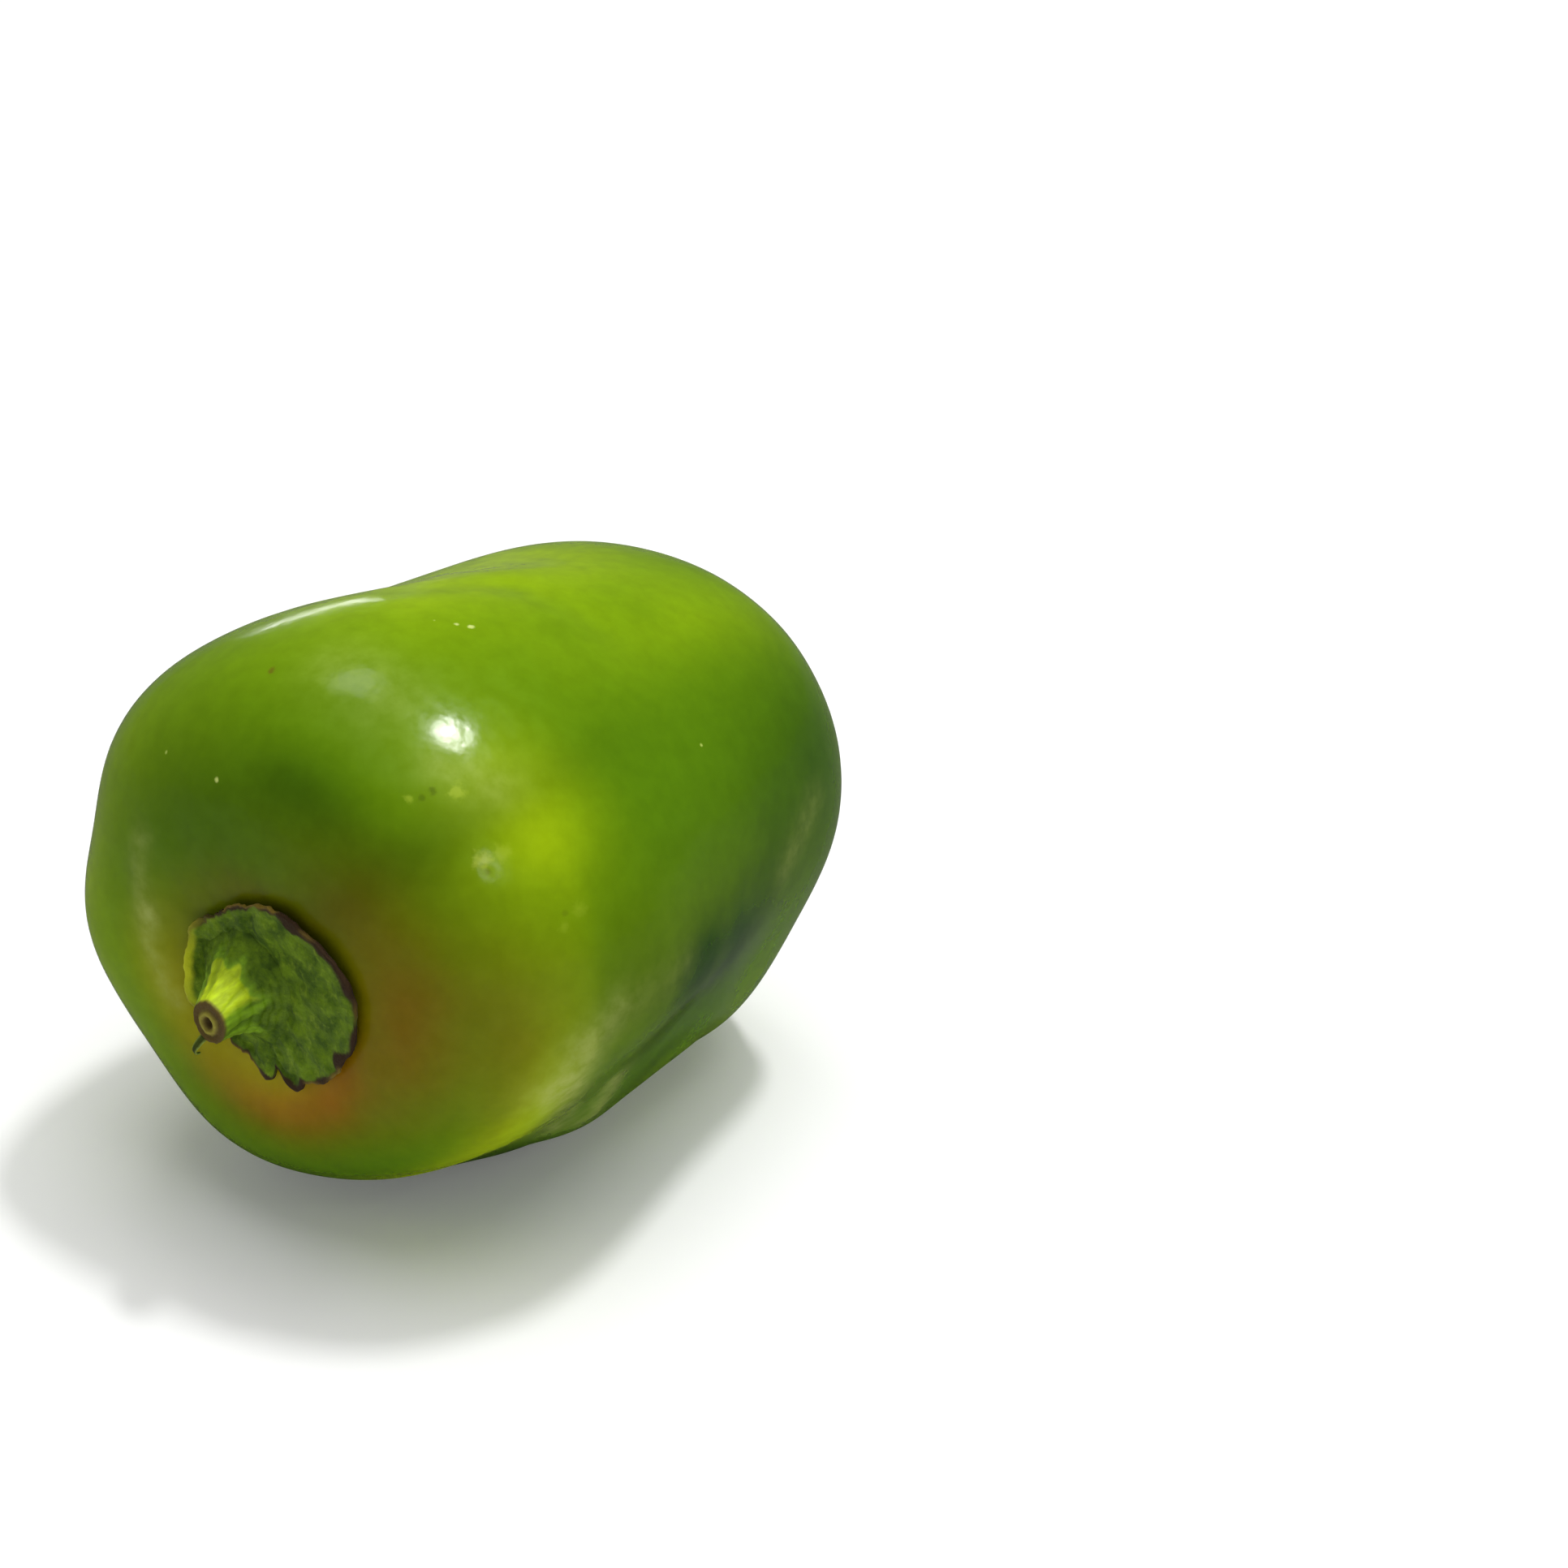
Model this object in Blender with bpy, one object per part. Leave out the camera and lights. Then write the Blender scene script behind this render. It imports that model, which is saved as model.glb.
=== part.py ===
"""A blocky green chilli lying on its side: the pod, the calyx that caps it and the cut stem.

Metres, +Z up. Each piece is shaped about the fruit's own axis, with local +Z towards the
stem, local +Y up and local +X right. The fruit is then laid down, stem towards -Y, with the
middle of its box over the origin and its flat underside on the ground.

A place on the fruit is given by two angles in degrees: "lean" from the stem (0 at the stem,
180 at the blossom end) and "turn" round the axis (0 is up, 90 is right, 180 is down).
"""

import math

import bmesh
import bpy
from mathutils import Matrix, Vector

MM = 0.001
GAP = 0.3  # clearance between pieces that touch, mm

# Pod, mm: a rounded block about the axis, wider at the stem end
POD_HALF_LENGTH = 45.5
POD_RADIUS = 37.4
POD_SQUARENESS = 3.3  # 2 is an ellipsoid, more is blockier
POD_TAPER = 0.11
POD_CUTS = 19  # cuts across each side of the cube that becomes the pod
STEM_BASIN = {"depth": 5.5, "spread": 21}
BLOSSOM_BASIN = {"depth": 6.0, "spread": 22}
STEM_LIFT = 2.0  # degrees that the stem end points up
REST_DEPTH = 0.9  # how far up the underside is flat, mm

# Grooves between the three lobes: turn and depth at shoulder, waist, tip and blossom end
STATIONS = (40, 90, 135, 160)  # the lean of each
GROOVES = {
    "top": {"turn": (-25, -25, -5, -5), "depth": (0.0, 2.0, 1.0, 4.0), "width": 20},
    "right": {"turn": (115, 125, 115, 115), "depth": (0.0, 4.0, 2.0, 4.0), "width": 20},
    "left": {"turn": (225, 225, 230, 230), "depth": (0.0, 1.0, 3.0, 4.5), "width": 20},
}

# Swells and hollows: lean, turn, spread along and round the pod, height in mm
SWELLS = {
    "front lobe, shoulder": (50, 40, 30, 35, -1.0),
    "front lobe, shoulder edge": (65, 80, 15, 30, 1.5),
    "front lobe, tip": (125, 60, 30, 35, 0.5),
    "under the front lobe, tip": (120, 110, 30, 40, -4.0),
    "lower lobe, shoulder": (50, 165, 30, 35, -5.5),
    "lower lobe, waist": (105, 145, 10, 10, -1.0),
    "lower lobe, corner": (125, 140, 10, 15, 1.0),
    "lower lobe, tip": (125, 165, 25, 30, -1.5),
    "right hollow, near the stem": (65, 110, 15, 15, -2.0),
    "under the right hollow": (55, 135, 15, 20, -3.5),
    "right hollow, waist": (85, 105, 15, 10, -1.5),
    "beside the right hollow, tip": (105, 125, 15, 15, 2.0),
    "lower lobe, underneath": (80, 150, 20, 10, -1.5),
    "back lobe, shoulder": (50, -50, 15, 15, 1.0),
    "back lobe, top of the tip": (120, -20, 30, 35, -1.0),
    "back lobe, tip": (120, -120, 30, 45, 2.0),
    "stem end, upper left": (40, -75, 15, 10, -1.0),
    "stem end, left": (35, -95, 10, 15, 1.0),
    "stem end, lower left": (35, -125, 15, 15, -1.0),
    "stem end, underneath": (35, -165, 15, 15, 1.0),
}

# Calyx, mm: a thin cap that follows the basin, with a flat seat for the stem
CALYX_SEGMENTS = 72
CALYX_RINGS = 6
CALYX_RADIUS = 12.2
CALYX_OFFSET = {"turn": 80, "reach": 3.8, "stretch": 1.6}
CALYX_THICKNESS = {"middle": 1.9, "rim": 0.9}
CALYX_RIM_LIFT = 0.5  # how far the rim stands off the skin
SEAT_RADIUS = 5.6
# Teeth and tears round the rim: turn, spread in degrees, height in mm
CALYX_TEETH = (
    (-118, 12, 0.9),
    (-55, 12, 0.5),
    (20, 14, 0.4),
    (66, 12, 0.6),
    (100, 7, -0.9),
    (124, 8, 0.8),
    (143, 7, 1.6),
    (156, 5, -2.0),
    (168, 7, 1.1),
)

# Stem, mm: a ribbed stub that narrows to a cut end; its profile is height above the seat, radius
STEM_SEGMENTS = 40
STEM_PROFILE = ((0.0, 5.2), (0.8, 4.7), (2.0, 4.1), (3.6, 3.6), (5.4, 3.2), (6.8, 2.9), (7.8, 2.7))
STEM_RIBS = 5
STEM_RIB_DEPTH = 0.07  # as a share of the radius
STEM_END_BEVEL = 0.3

COLOURS = {
    "pod": {"colour": (0.118, 0.262, 0.006), "roughness": 0.28},
    "calyx": {"colour": (0.045, 0.120, 0.010), "roughness": 0.70},
    "stem": {"colour": (0.250, 0.420, 0.020), "roughness": 0.55},
}


def ease(low, high, value):
    """0 below low, 1 above high, and a smooth rise between them."""
    share = min(max((value - low) / (high - low), 0.0), 1.0)
    return share * share * (3 - 2 * share)


def bell(offset, spread):
    return math.exp(-((offset / spread) ** 2))


def turn_gap(turn, other):
    """The signed angle from other to turn, between -180 and 180."""
    return (turn - other + 180) % 360 - 180


def along_pod(values, lean):
    """A value given at each station, at any lean."""
    result = values[0]
    for step in range(1, len(STATIONS)):
        result += (values[step] - values[step - 1]) * ease(STATIONS[step - 1], STATIONS[step], lean)
    return result


def pod_radius(lean, turn):
    """Distance from the pod's middle to its skin, mm."""
    along = abs(math.cos(math.radians(lean)))
    across = math.sin(math.radians(lean))
    power = POD_SQUARENESS
    radius = ((along / POD_HALF_LENGTH) ** power + (across / POD_RADIUS) ** power) ** (-1 / power)
    radius *= 1 + POD_TAPER * math.cos(math.radians(lean)) * across**2
    radius -= STEM_BASIN["depth"] * bell(lean, STEM_BASIN["spread"])
    radius -= BLOSSOM_BASIN["depth"] * bell(180 - lean, BLOSSOM_BASIN["spread"])
    ends = ease(8, 30, lean) * ease(4, 24, 180 - lean)
    for groove in GROOVES.values():
        away = turn_gap(turn, along_pod(groove["turn"], lean)) * across**0.7
        radius -= along_pod(groove["depth"], lean) * ends * bell(away, groove["width"])
    for at_lean, at_turn, spread_along, spread_round, height in SWELLS.values():
        away = turn_gap(turn, at_turn) * across
        radius += height * bell(lean - at_lean, spread_along) * bell(away, spread_round)
    return radius


def heading(lean, turn):
    """Unit vector for a lean and a turn."""
    lean, turn = math.radians(lean), math.radians(turn)
    return Vector((math.sin(lean) * math.sin(turn), math.sin(lean) * math.cos(turn), math.cos(lean)))


def lean_and_turn(direction):
    direction = direction.normalized()
    lean = math.degrees(math.acos(min(max(direction.z, -1.0), 1.0)))
    return lean, math.degrees(math.atan2(direction.x, direction.y))


def pod_point(lean, turn):
    return heading(lean, turn) * pod_radius(lean, turn)


def laid_down():
    """The turn that lays the fruit's axis along -Y, with the stem end a little up."""
    return Matrix.Rotation(math.radians(90 - STEM_LIFT), 4, "X")


def material(name):
    look = COLOURS[name]
    skin = bpy.data.materials.new(name)
    skin.use_nodes = True
    shader = skin.node_tree.nodes["Principled BSDF"]
    shader.inputs["Base Color"].default_value = (*look["colour"], 1.0)
    shader.inputs["Roughness"].default_value = look["roughness"]
    shader.inputs["Metallic"].default_value = 0.0
    return skin


def add_object(name, mesh_builder, fruit):
    """Finishes a bmesh made in mm as an object in metres, under the fruit's empty."""
    bmesh.ops.scale(mesh_builder, vec=(MM, MM, MM), verts=mesh_builder.verts)
    bmesh.ops.recalc_face_normals(mesh_builder, faces=mesh_builder.faces)
    mesh = bpy.data.meshes.new(name)
    mesh_builder.to_mesh(mesh)
    mesh_builder.free()
    mesh.shade_smooth()
    mesh.set_sharp_from_angle(angle=math.radians(50))
    mesh.materials.append(material(name))
    piece = bpy.data.objects.new(name, mesh)
    bpy.context.collection.objects.link(piece)
    piece.parent = fruit
    return piece


def even_sphere(cuts):
    """A sphere of near-equal quads, made from a cube."""
    ball = bmesh.new()
    bmesh.ops.create_cube(ball, size=2)
    bmesh.ops.subdivide_edges(ball, edges=ball.edges, cuts=cuts, use_grid_fill=True)
    for vert in ball.verts:
        vert.co = Vector(math.tan(value * math.pi / 4) for value in vert.co).normalized()
    return ball


def flatten_underside(pod):
    """Cuts the lowest part of the pod off level, so that it rests on a real face."""
    up = laid_down().inverted() @ Vector((0, 0, 1))
    level = min(vert.co.dot(up) for vert in pod.verts) + REST_DEPTH
    everything = pod.verts[:] + pod.edges[:] + pod.faces[:]
    bmesh.ops.bisect_plane(
        pod, geom=everything, dist=0.0001, plane_co=up * level, plane_no=-up, clear_outer=True
    )
    bmesh.ops.holes_fill(pod, edges=[edge for edge in pod.edges if edge.is_boundary])


def build_pod(fruit):
    pod = even_sphere(POD_CUTS)
    for vert in pod.verts:
        vert.co = pod_point(*lean_and_turn(vert.co))
    flatten_underside(pod)
    return add_object("pod", pod, fruit)


def calyx_reach(turn):
    """Distance from the stem's axis to the calyx's rim, mm."""
    swing = math.radians(turn_gap(turn, CALYX_OFFSET["turn"]))
    reach = CALYX_RADIUS + CALYX_OFFSET["reach"] * math.cos(swing)
    reach += CALYX_OFFSET["stretch"] * math.cos(2 * swing)
    for at_turn, spread, height in CALYX_TEETH:
        reach += height * bell(turn_gap(turn, at_turn), spread)
    return reach


def seat_height():
    """Height of the calyx's flat seat on the axis, mm."""
    return pod_radius(0, 0) + GAP + CALYX_THICKNESS["middle"]


def calyx_height(share, lean, turn, on_top):
    """Height along the axis of the calyx's underside or top, above a place on the pod."""
    height = pod_point(lean, turn).z + GAP + CALYX_RIM_LIFT * share**3
    if not on_top:
        return height
    height += CALYX_THICKNESS["middle"] + (CALYX_THICKNESS["rim"] - CALYX_THICKNESS["middle"]) * share
    seat = ease(SEAT_RADIUS, SEAT_RADIUS + 3, share * calyx_reach(turn))
    return seat_height() + (height - seat_height()) * seat


def build_calyx(fruit):
    calyx = bmesh.new()
    bmesh.ops.create_circle(calyx, cap_ends=True, cap_tris=True, segments=CALYX_SEGMENTS, radius=1)
    for ring in range(1, CALYX_RINGS):
        rim = [edge for edge in calyx.edges if edge.is_boundary]
        grown = bmesh.ops.extrude_edge_only(calyx, edges=rim)["geom"]
        corners = [item for item in grown if isinstance(item, bmesh.types.BMVert)]
        bmesh.ops.scale(calyx, vec=((ring + 1) / ring,) * 3, verts=corners)
    underside = calyx.verts[:]
    top = bmesh.ops.extrude_face_region(calyx, geom=calyx.faces[:])["geom"]
    top_verts = {item for item in top if isinstance(item, bmesh.types.BMVert)}
    for vert in underside + list(top_verts):
        share = vert.co.length / CALYX_RINGS
        turn = math.degrees(math.atan2(vert.co.x, vert.co.y))
        reach = share * calyx_reach(turn)
        lean = math.degrees(math.atan2(reach, seat_height()))
        skin = pod_point(lean, turn)
        vert.co = (skin.x, skin.y, calyx_height(share, lean, turn, vert in top_verts))
    return add_object("calyx", calyx, fruit)


def build_stem(fruit):
    stem = bmesh.new()
    bmesh.ops.create_circle(stem, cap_ends=True, segments=STEM_SEGMENTS, radius=1)
    rim = stem.edges[:]
    ring = stem.verts[:]
    for height, radius in STEM_PROFILE:
        if height > 0:
            grown = bmesh.ops.extrude_edge_only(stem, edges=rim)["geom"]
            rim = [item for item in grown if isinstance(item, bmesh.types.BMEdge) and item.is_boundary]
            ring = [item for item in grown if isinstance(item, bmesh.types.BMVert)]
        for vert in ring:
            turn = math.atan2(vert.co.x, vert.co.y)
            out = radius * (1 + STEM_RIB_DEPTH * math.cos(STEM_RIBS * turn))
            vert.co = (out * math.sin(turn), out * math.cos(turn), seat_height() + GAP + height)
    bmesh.ops.holes_fill(stem, edges=rim)
    bmesh.ops.bevel(stem, geom=rim, affect="EDGES", offset=STEM_END_BEVEL, segments=2, profile=0.5)
    return add_object("stem", stem, fruit)


def settle(fruit, pieces):
    """Lays the fruit down and puts the middle of its box over the origin, on the ground."""
    fruit.matrix_world = laid_down()
    bpy.context.view_layer.update()
    corners = [fruit.matrix_world @ vert.co for piece in pieces for vert in piece.data.vertices]
    low = Vector(min(corner[axis] for corner in corners) for axis in range(3))
    high = Vector(max(corner[axis] for corner in corners) for axis in range(3))
    fruit.location = (-(low.x + high.x) / 2, -(low.y + high.y) / 2, -low.z)


def main():
    for thing in list(bpy.data.objects):
        bpy.data.objects.remove(thing)
    fruit = bpy.data.objects.new("fruit_axis", None)
    bpy.context.collection.objects.link(fruit)
    pieces = [build_pod(fruit), build_calyx(fruit), build_stem(fruit)]
    settle(fruit, pieces)


main()
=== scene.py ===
import math

import bmesh
import bpy
from mathutils import Matrix, Vector, noise


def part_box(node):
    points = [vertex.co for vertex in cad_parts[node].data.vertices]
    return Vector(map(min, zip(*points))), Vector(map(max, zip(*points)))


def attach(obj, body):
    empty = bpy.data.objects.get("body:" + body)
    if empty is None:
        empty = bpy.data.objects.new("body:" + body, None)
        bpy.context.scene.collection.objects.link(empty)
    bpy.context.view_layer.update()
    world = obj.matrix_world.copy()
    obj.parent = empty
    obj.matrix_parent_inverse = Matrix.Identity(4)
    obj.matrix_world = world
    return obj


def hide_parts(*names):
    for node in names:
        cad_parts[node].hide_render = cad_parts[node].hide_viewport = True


# A blocky green chilli pepper that lies on a pale floor, its cut stem towards -Y.
# Shapes are worked out in mm about the fruit's own axis: +Z to the stem, +Y up, +X right.
# A place on the skin is a lean, 0 at the stem to 180 at the blossom end, and a turn round
# the axis, 0 on top, 90 on the right and 180 underneath, both in degrees.

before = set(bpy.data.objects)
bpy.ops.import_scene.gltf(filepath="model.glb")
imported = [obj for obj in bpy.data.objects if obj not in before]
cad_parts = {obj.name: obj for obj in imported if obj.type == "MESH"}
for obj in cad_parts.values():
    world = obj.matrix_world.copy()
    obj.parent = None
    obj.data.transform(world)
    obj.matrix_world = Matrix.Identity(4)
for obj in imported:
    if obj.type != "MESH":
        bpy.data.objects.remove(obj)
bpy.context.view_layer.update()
mm = 0.001


def ease(low, high, value):
    share = min(max((value - low) / (high - low), 0.0), 1.0)
    return share * share * (3 - 2 * share)


def bell(offset, spread):
    return math.exp(-((offset / spread) ** 2))


def turnGap(turn, other):
    return (turn - other + 180) % 360 - 180


def cloud(point, size, seed=0.0):
    # smooth noise, about -0.6 to 0.6, with lumps of the given size
    return noise.noise(point / size + Vector((seed, seed * 0.7, -seed)))


def fromTable(table, value):
    # a value read smoothly from pairs of (place, value)
    if value <= table[0][0]:
        return table[0][1]
    for (low, first), (high, second) in zip(table, table[1:]):
        if value < high:
            return first + (second - first) * ease(low, high, value)
    return table[-1][1]


def linear(hexColour):
    # an sRGB hex colour as the linear one that a shader takes
    shares = [int(hexColour[at:at + 2], 16) / 255 for at in (1, 3, 5)]
    return tuple(s / 12.92 if s <= 0.04045 else ((s + 0.055) / 1.055) ** 2.4 for s in shares) + (1.0,)


# the pod's plain shape, the same as the CAD pod's
pod = {
    "halfLength": 45.5,
    "radius": 37.4,
    "squareness": 3.3,
    "taper": 0.11,
    "stemBasin": (5.5, 21),
    "blossomBasin": (6.0, 22),
    "stemLift": 2.0,       # degrees that the stem end points up
    "restSoftness": 0.5,   # how gently the underside turns level where it rests, mm
    "cadCuts": 19,         # the CAD pod's own cuts
    "cuts": 110,           # across each side of the cube that becomes the pod
    "stations": (40, 90, 135, 160),
    # turn and depth of each groove at the stations
    "grooves": {
        "top": ((-25, -25, -5, -5), (0.0, 2.0, 1.0, 4.0), 20),
        "right": ((115, 125, 115, 115), (0.0, 4.0, 2.0, 4.0), 20),
        "left": ((225, 225, 230, 230), (0.0, 1.0, 3.0, 4.5), 20),
    },
    # lean, turn, spread along and round, height in mm
    "swells": (
        (50, 40, 30, 35, -1.0),      # front lobe, shoulder
        (65, 80, 15, 30, 1.5),       # front lobe, shoulder edge
        (125, 60, 30, 35, 0.5),      # front lobe, tip
        (120, 110, 30, 40, -4.0),    # under the front lobe, tip
        (50, 165, 30, 35, -5.5),     # lower lobe, shoulder
        (105, 145, 10, 10, -1.0),    # lower lobe, waist
        (125, 140, 10, 15, 1.0),     # lower lobe, corner
        (125, 165, 25, 30, -1.5),    # lower lobe, tip
        (65, 110, 15, 15, -2.0),     # right hollow, near the stem
        (55, 135, 15, 20, -3.5),     # under the right hollow
        (85, 105, 15, 10, -1.5),     # right hollow, waist
        (105, 125, 15, 15, 2.0),     # beside the right hollow, tip
        (80, 150, 20, 10, -1.5),     # lower lobe, underneath
        (50, -50, 15, 15, 1.0),      # back lobe, shoulder
        (120, -20, 30, 35, -1.0),    # back lobe, top of the tip
        (120, -120, 30, 45, 2.0),    # back lobe, tip
        (40, -75, 15, 10, -1.0),     # stem end, upper left
        (35, -95, 10, 15, 1.0),      # stem end, left
        (35, -125, 15, 15, -1.0),    # stem end, lower left
        (35, -165, 15, 15, 1.0),     # stem end, underneath
    ),
}

# finer relief that lies on the plain shape
relief = {
    # soft folds: lean and turn of both ends, width in degrees, height in mm
    "folds": (
        ((76, -8), (90, 4), 5.0, -0.3),      # crease across the top
        ((90, 4), (95, 24), 5.0, -0.25),
        ((53, 103), (55, 93), 2.6, 0.22),    # lip beside the lower right hollow
        ((55, 93), (62, 86), 2.8, 0.2),
        ((71, 130), (68, 113), 2.4, 0.2),
        ((58, 62), (57, 88), 3.0, 0.2),      # edge of the front lobe's shoulder
        ((24, -54), (20, -92), 2.0, 0.18),   # lip round the basin, on the left
        ((20, -92), (18, -118), 2.0, 0.18),
    ),
    # small pits: lean, turn, radius and depth in mm
    "pits": (
        (46.7, 36.5, 0.55, 0.09),
        (45.1, 36.3, 0.45, 0.07),
        (47.2, 54.3, 0.60, 0.09),
        (54.8, 66.8, 0.50, 0.06),
        (47.5, -7.5, 0.55, 0.09),
        (118, -70, 0.70, 0.10),
    ),
    "pleats": 17,            # faint ribs that run out from under the calyx
    "pleatHeight": 0.07,
    "pleatWobble": 2.2,      # how unevenly they are spaced
    "scarNub": 0.8,          # the flower's corky scar in the middle of the blossom end, mm
    "swellingSize": 9.0,     # the flesh's slow unevenness
    "swellingHeight": 0.09,
    "dimpleSize": 3.2,
    "dimpleHeight": 0.018,
}


def alongPod(values, lean):
    stations = pod["stations"]
    result = values[0]
    for step in range(1, len(stations)):
        result += (values[step] - values[step - 1]) * ease(stations[step - 1], stations[step], lean)
    return result


def podRadius(lean, turn):
    along = abs(math.cos(math.radians(lean)))
    across = math.sin(math.radians(lean))
    power = pod["squareness"]
    radius = ((along / pod["halfLength"]) ** power + (across / pod["radius"]) ** power) ** (-1 / power)
    radius *= 1 + pod["taper"] * math.cos(math.radians(lean)) * across**2
    for (depth, spread), away in ((pod["stemBasin"], lean), (pod["blossomBasin"], 180 - lean)):
        radius -= depth * bell(away, spread)
    ends = ease(8, 30, lean) * ease(4, 24, 180 - lean)
    for turns, depths, width in pod["grooves"].values():
        away = turnGap(turn, alongPod(turns, lean)) * across**0.7
        radius -= alongPod(depths, lean) * ends * bell(away, width)
    for atLean, atTurn, spreadAlong, spreadRound, height in pod["swells"]:
        away = turnGap(turn, atTurn) * across
        radius += height * bell(lean - atLean, spreadAlong) * bell(away, spreadRound)
    return radius


def heading(lean, turn):
    lean, turn = math.radians(lean), math.radians(turn)
    return Vector((math.sin(lean) * math.sin(turn), math.sin(lean) * math.cos(turn), math.cos(lean)))


def leanAndTurn(direction):
    direction = direction.normalized()
    lean = math.degrees(math.acos(min(max(direction.z, -1.0), 1.0)))
    return lean, math.degrees(math.atan2(direction.x, direction.y))


def podPoint(lean, turn):
    return heading(lean, turn) * podRadius(lean, turn)


def alongFolds(folds, lean, turn):
    # sum of soft folds, each along a straight stretch of the skin
    total = 0.0
    for (lean1, turn1), (lean2, turn2), width, height in folds:
        across = math.sin(math.radians((lean1 + lean2) / 2))
        run = Vector((lean2 - lean1, (turn2 - turn1) * across))
        here = Vector((lean - lean1, turnGap(turn, turn1) * across))
        share = here.dot(run) / run.length_squared
        off = (here - run * min(max(share, 0.0), 1.0)).length
        total += height * bell(off, width)
    return total


def fineRelief(lean, turn, direction):
    # unevenness that lies on the plain shape, mm
    point = direction * pod["radius"]
    height = relief["swellingHeight"] * cloud(point, relief["swellingSize"], 3.1)
    height += relief["dimpleHeight"] * cloud(point, relief["dimpleSize"], 5.7)
    height += alongFolds(relief["folds"], lean, turn)
    wobble = relief["pleatWobble"] * cloud(point, 11.0, 8.3)
    pleat = math.cos(math.radians(turn * relief["pleats"]) + wobble)
    height += relief["pleatHeight"] * pleat * bell(lean - 21, 9) * ease(4, 12, lean)
    height += 1.6 * relief["pleatHeight"] * pleat * bell(180 - lean - 13, 7)
    height += relief["scarNub"] * bell(180 - lean, 2.0)
    for place, radius, depth in pitPlaces:
        off = (point - place).length * (1 + 0.5 * cloud(point, 1.6, 2.6))
        if off < 3 * radius:
            height -= depth * bell(off, radius * 0.8)
    return height


def evenSphere(cuts):
    # a sphere of near-equal quads, from a cube
    ball = bmesh.new()
    bmesh.ops.create_cube(ball, size=2)
    bmesh.ops.subdivide_edges(ball, edges=ball.edges, cuts=cuts, use_grid_fill=True)
    for vert in ball.verts:
        vert.co = Vector(math.tan(value * math.pi / 4) for value in vert.co).normalized()
    return ball


pitPlaces = [
    (heading(lean, turn) * pod["radius"], radius, depth) for lean, turn, radius, depth in relief["pits"]
]
layDown = Matrix.Rotation(math.radians(90 - pod["stemLift"]), 4, "X") @ Matrix.Scale(mm, 4)


def fruitPlace():
    # where the fruit's middle lies: the plain pod's high corner meets the CAD pod's
    ball = evenSphere(pod["cadCuts"])
    corners = [layDown @ podPoint(*leanAndTurn(vert.co)) for vert in ball.verts]
    ball.free()
    high = Vector(max(corner[axis] for corner in corners) for axis in range(3))
    return Matrix.Translation(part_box("pod")[1] - high) @ layDown


place = fruitPlace()


def addNode(tree, kind, settings, inputs):
    made = tree.nodes.new("ShaderNode" + kind)
    for name, value in settings.items():
        setattr(made, name, value)
    for socket, value in inputs.items():
        if isinstance(value, bpy.types.NodeSocket):
            tree.links.new(value, made.inputs[socket])
        else:
            made.inputs[socket].default_value = value
    return made


def addNoise(tree, vector, size, detail, roughness):
    # lumps of the given size in mm
    return addNode(tree, "TexNoise", {}, {
        "Vector": vector, "Scale": 1 / (size * mm), "Detail": detail, "Roughness": roughness})


def addMix(tree, mask, under, over):
    return addNode(tree, "Mix", {"data_type": "RGBA"}, {0: mask, 6: under, 7: over}).outputs[2]


def addRange(tree, value, fromMin, fromMax, toMin, toMax):
    made = addNode(tree, "MapRange", {}, {
        "Value": value, "From Min": fromMin, "From Max": fromMax, "To Min": toMin, "To Max": toMax})
    return made.outputs["Result"]


def addBump(tree, height, depth, strength, under=None):
    # depth in mm, laid over the bump that comes before it, if any
    inputs = {"Height": height, "Distance": depth * mm, "Strength": strength}
    if under is not None:
        inputs["Normal"] = under
    return addNode(tree, "Bump", {}, inputs).outputs["Normal"]


def attribute(tree, name):
    return addNode(tree, "Attribute", {"attribute_name": name}, {}).outputs["Fac"]


def objectCoords(tree):
    return addNode(tree, "TexCoord", {}, {}).outputs["Object"]


def newMaterial(name):
    made = bpy.data.materials.new(name)
    made.use_nodes = True
    made.node_tree.nodes.clear()
    return made, made.node_tree


def finishPiece(name, shape, material, node):
    # lays a bmesh made in mm in its place and hands it to the frame
    bmesh.ops.transform(shape, matrix=place, verts=shape.verts)
    bmesh.ops.recalc_face_normals(shape, faces=shape.faces)
    mesh = bpy.data.meshes.new(name)
    shape.to_mesh(mesh)
    shape.free()
    mesh.shade_smooth()
    mesh.materials.append(material)
    piece = bpy.data.objects.new(name, mesh)
    bpy.context.collection.objects.link(piece)
    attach(piece, "root")
    if node:
        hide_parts(node)
    print(name, len(mesh.polygons), "faces")
    return piece


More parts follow.
